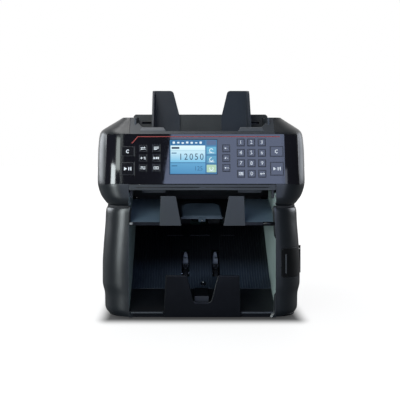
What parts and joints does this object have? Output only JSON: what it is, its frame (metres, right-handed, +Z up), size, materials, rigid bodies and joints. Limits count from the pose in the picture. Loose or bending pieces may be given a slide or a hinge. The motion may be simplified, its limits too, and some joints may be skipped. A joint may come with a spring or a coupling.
{
  "type": "banknote counting machine",
  "caption": "Table-top banknote counter with a top hopper and guides, a key fascia with display, a reject pocket and a stacker pocket with fan wheels, and a tilting head.",
  "frame": {"origin": "on the table, under the middle of the machine's box", "axes": "+X to the operator's right, +Y to the back, +Z up; the keys face -Y"},
  "size_m": [0.314, 0.29, 0.3434],
  "materials": {
    "body_plastic": "fine satin texture",
    "gloss_panel": "polished",
    "key_plastic": "polished with a pale edge line",
    "display_glass": "lit display under clear glass",
    "grey_plastic": "fine satin texture",
    "guide_plastic": "satin",
    "black_plastic": "satin",
    "frame_coat": "grey powder coat",
    "steel": "machined",
    "motor_case": "zinc plated",
    "roller_rubber": "matt",
    "wheel_plastic": "satin",
    "gate_plastic": "satin",
    "nylon": "natural nylon",
    "board": "solder mask"
  },
  "bodies": {
    "chassis": {"base_pan": "body_plastic", "rubber_feet": "roller_rubber", "side_cover_left": "body_plastic", "side_cover_right": "body_plastic", "side_frames": "frame_coat", "hinge_pins": "steel", "rear_cover": "body_plastic", "fasteners": "steel", "power_inlet": "black_plastic", "circuit_boards": "board", "stacker_floor": "black_plastic", "stacker_back": "black_plastic", "front_stop": "grey_plastic", "reject_tray": "grey_plastic", "reject_stops": "grey_plastic", "drive_motor": "motor_case", "drive_belt": "roller_rubber"},
    "head": {"cheek_left": "body_plastic", "cheek_right": "body_plastic", "hopper_deck": "body_plastic", "fascia": "gloss_panel", "head_pan": "grey_plastic", "display": "display_glass", "hopper_plate": "grey_plastic", "feed_motor": "motor_case"},
    "guide_l": {"guide_left": "guide_plastic"},
    "guide_r": {"guide_right": "guide_plastic"},
    "rack_pinion": {"guide_pinion": "nylon"},
    "feed_shaft": {"feed_rollers": "roller_rubber"},
    "drum": {"transport_drum": "roller_rubber"},
    "motor_rotor": {"motor_pulley": "steel"},
    "wheel_shaft": {"stacker_wheels": "wheel_plastic"},
    "gate": {"diverter_gate": "gate_plastic"},
    "rocker": {"power_switch": "black_plastic"},
    "door": {"port_door": "black_plastic"},
    "b_key_clear_left": {"key_clear_left": "key_plastic"},
    "b_key_start_left": {"key_start_left": "key_plastic"},
    "b_key_clear_right": {"key_clear_right": "key_plastic"},
    "b_key_start_right": {"key_start_right": "key_plastic"},
    "b_key_fn_1": {"key_fn_1": "key_plastic"},
    "b_key_fn_3": {"key_fn_3": "key_plastic"},
    "b_key_fn_5": {"key_fn_5": "key_plastic"},
    "b_key_fn_2": {"key_fn_2": "key_plastic"},
    "b_key_fn_4": {"key_fn_4": "key_plastic"},
    "b_key_fn_6": {"key_fn_6": "key_plastic"},
    "b_key_soft_1": {"key_soft_1": "key_plastic"},
    "b_key_soft_2": {"key_soft_2": "key_plastic"},
    "b_key_soft_3": {"key_soft_3": "key_plastic"},
    "b_key_1": {"key_1": "key_plastic"},
    "b_key_4": {"key_4": "key_plastic"},
    "b_key_7": {"key_7": "key_plastic"},
    "b_key_2": {"key_2": "key_plastic"},
    "b_key_5": {"key_5": "key_plastic"},
    "b_key_8": {"key_8": "key_plastic"},
    "b_key_3": {"key_3": "key_plastic"},
    "b_key_6": {"key_6": "key_plastic"},
    "b_key_9": {"key_9": "key_plastic"},
    "b_key_menu": {"key_menu": "key_plastic"},
    "b_key_0": {"key_0": "key_plastic"},
    "b_key_alt": {"key_alt": "key_plastic"}
  },
  "joints": [
    {"name": "head_tilt", "type": "hinge", "parent": "chassis", "child": "head", "pos_m": [0, 0.132, 0.1766], "axis": [-1, 0, 0], "range_deg": [0, 60]},
    {"name": "guide_left_slide", "type": "slide", "parent": "head", "child": "guide_l", "axis": [-1, 0, 0], "range_m": [-0.014, 0.02]},
    {"name": "guide_right_slide", "type": "slide", "parent": "head", "child": "guide_r", "axis": [1, 0, 0], "range_m": [-0.014, 0.02]},
    {"name": "rack_pinion_turn", "type": "hinge", "parent": "head", "child": "rack_pinion", "pos_m": [0, -0.04373, 0.29089], "axis": [0, 0.9063, -0.4226], "range_deg": [-192, 134]},
    {"name": "feed_turn", "type": "hinge", "parent": "head", "child": "feed_shaft", "pos_m": [0, -0.07979, 0.24503], "axis": [1, 0, 0], "continuous": true},
    {"name": "drum_turn", "type": "hinge", "parent": "chassis", "child": "drum", "pos_m": [0, 0.072, 0.128], "axis": [1, 0, 0], "continuous": true},
    {"name": "motor_turn", "type": "hinge", "parent": "chassis", "child": "motor_rotor", "pos_m": [0, 0.06, 0.048], "axis": [1, 0, 0], "continuous": true},
    {"name": "wheel_turn", "type": "hinge", "parent": "chassis", "child": "wheel_shaft", "pos_m": [0, -0.02367, 0.04738], "axis": [1, 0, 0], "continuous": true},
    {"name": "gate_swing", "type": "hinge", "parent": "chassis", "child": "gate", "pos_m": [0, 0.033, 0.146], "axis": [-1, 0, 0], "range_deg": [0, 14]},
    {"name": "rocker_swing", "type": "hinge", "parent": "chassis", "child": "rocker", "pos_m": [-0.055, 0.137, 0.045], "axis": [-1, 0, 0], "range_deg": [0, 14]},
    {"name": "door_swing", "type": "hinge", "parent": "chassis", "child": "door", "pos_m": [0.1503, -0.09575, 0.0822], "axis": [0, 0, 1], "range_deg": [0, 100]},
    {"name": "key_clear_left_press", "type": "slide", "parent": "head", "child": "b_key_clear_left", "axis": [0, 0.9848, -0.1736], "range_m": [0, 0.0008], "stiffness_N_per_m": 900, "springref_m": -0.0003},
    {"name": "key_start_left_press", "type": "slide", "parent": "head", "child": "b_key_start_left", "axis": [0, 0.9848, -0.1736], "range_m": [0, 0.0008], "stiffness_N_per_m": 900, "springref_m": -0.0003},
    {"name": "key_clear_right_press", "type": "slide", "parent": "head", "child": "b_key_clear_right", "axis": [0, 0.9848, -0.1736], "range_m": [0, 0.0008], "stiffness_N_per_m": 900, "springref_m": -0.0003},
    {"name": "key_start_right_press", "type": "slide", "parent": "head", "child": "b_key_start_right", "axis": [0, 0.9848, -0.1736], "range_m": [0, 0.0008], "stiffness_N_per_m": 900, "springref_m": -0.0003},
    {"name": "key_fn_1_press", "type": "slide", "parent": "head", "child": "b_key_fn_1", "axis": [0, 0.9848, -0.1736], "range_m": [0, 0.0008], "stiffness_N_per_m": 900, "springref_m": -0.0003},
    {"name": "key_fn_3_press", "type": "slide", "parent": "head", "child": "b_key_fn_3", "axis": [0, 0.9848, -0.1736], "range_m": [0, 0.0008], "stiffness_N_per_m": 900, "springref_m": -0.0003},
    {"name": "key_fn_5_press", "type": "slide", "parent": "head", "child": "b_key_fn_5", "axis": [0, 0.9848, -0.1736], "range_m": [0, 0.0008], "stiffness_N_per_m": 900, "springref_m": -0.0003},
    {"name": "key_fn_2_press", "type": "slide", "parent": "head", "child": "b_key_fn_2", "axis": [0, 0.9848, -0.1736], "range_m": [0, 0.0008], "stiffness_N_per_m": 900, "springref_m": -0.0003},
    {"name": "key_fn_4_press", "type": "slide", "parent": "head", "child": "b_key_fn_4", "axis": [0, 0.9848, -0.1736], "range_m": [0, 0.0008], "stiffness_N_per_m": 900, "springref_m": -0.0003},
    {"name": "key_fn_6_press", "type": "slide", "parent": "head", "child": "b_key_fn_6", "axis": [0, 0.9848, -0.1736], "range_m": [0, 0.0008], "stiffness_N_per_m": 900, "springref_m": -0.0003},
    {"name": "key_soft_1_press", "type": "slide", "parent": "head", "child": "b_key_soft_1", "axis": [0, 0.9848, -0.1736], "range_m": [0, 0.0008], "stiffness_N_per_m": 900, "springref_m": -0.0003},
    {"name": "key_soft_2_press", "type": "slide", "parent": "head", "child": "b_key_soft_2", "axis": [0, 0.9848, -0.1736], "range_m": [0, 0.0008], "stiffness_N_per_m": 900, "springref_m": -0.0003},
    {"name": "key_soft_3_press", "type": "slide", "parent": "head", "child": "b_key_soft_3", "axis": [0, 0.9848, -0.1736], "range_m": [0, 0.0008], "stiffness_N_per_m": 900, "springref_m": -0.0003},
    {"name": "key_1_press", "type": "slide", "parent": "head", "child": "b_key_1", "axis": [0, 0.9848, -0.1736], "range_m": [0, 0.0008], "stiffness_N_per_m": 900, "springref_m": -0.0003},
    {"name": "key_4_press", "type": "slide", "parent": "head", "child": "b_key_4", "axis": [0, 0.9848, -0.1736], "range_m": [0, 0.0008], "stiffness_N_per_m": 900, "springref_m": -0.0003},
    {"name": "key_7_press", "type": "slide", "parent": "head", "child": "b_key_7", "axis": [0, 0.9848, -0.1736], "range_m": [0, 0.0008], "stiffness_N_per_m": 900, "springref_m": -0.0003},
    {"name": "key_2_press", "type": "slide", "parent": "head", "child": "b_key_2", "axis": [0, 0.9848, -0.1736], "range_m": [0, 0.0008], "stiffness_N_per_m": 900, "springref_m": -0.0003},
    {"name": "key_5_press", "type": "slide", "parent": "head", "child": "b_key_5", "axis": [0, 0.9848, -0.1736], "range_m": [0, 0.0008], "stiffness_N_per_m": 900, "springref_m": -0.0003},
    {"name": "key_8_press", "type": "slide", "parent": "head", "child": "b_key_8", "axis": [0, 0.9848, -0.1736], "range_m": [0, 0.0008], "stiffness_N_per_m": 900, "springref_m": -0.0003},
    {"name": "key_3_press", "type": "slide", "parent": "head", "child": "b_key_3", "axis": [0, 0.9848, -0.1736], "range_m": [0, 0.0008], "stiffness_N_per_m": 900, "springref_m": -0.0003},
    {"name": "key_6_press", "type": "slide", "parent": "head", "child": "b_key_6", "axis": [0, 0.9848, -0.1736], "range_m": [0, 0.0008], "stiffness_N_per_m": 900, "springref_m": -0.0003},
    {"name": "key_9_press", "type": "slide", "parent": "head", "child": "b_key_9", "axis": [0, 0.9848, -0.1736], "range_m": [0, 0.0008], "stiffness_N_per_m": 900, "springref_m": -0.0003},
    {"name": "key_menu_press", "type": "slide", "parent": "head", "child": "b_key_menu", "axis": [0, 0.9848, -0.1736], "range_m": [0, 0.0008], "stiffness_N_per_m": 900, "springref_m": -0.0003},
    {"name": "key_0_press", "type": "slide", "parent": "head", "child": "b_key_0", "axis": [0, 0.9848, -0.1736], "range_m": [0, 0.0008], "stiffness_N_per_m": 900, "springref_m": -0.0003},
    {"name": "key_alt_press", "type": "slide", "parent": "head", "child": "b_key_alt", "axis": [0, 0.9848, -0.1736], "range_m": [0, 0.0008], "stiffness_N_per_m": 900, "springref_m": -0.0003}
  ],
  "couplings": [
    {"joint": "guide_right_slide", "follows": "guide_left_slide", "ratio": 1},
    {"joint": "rack_pinion_turn", "follows": "guide_left_slide", "rad_per_m": -166.67},
    {"joint": "motor_turn", "follows": "drum_turn", "ratio": 1.75},
    {"joint": "wheel_turn", "follows": "drum_turn", "ratio": 1}
  ]
}
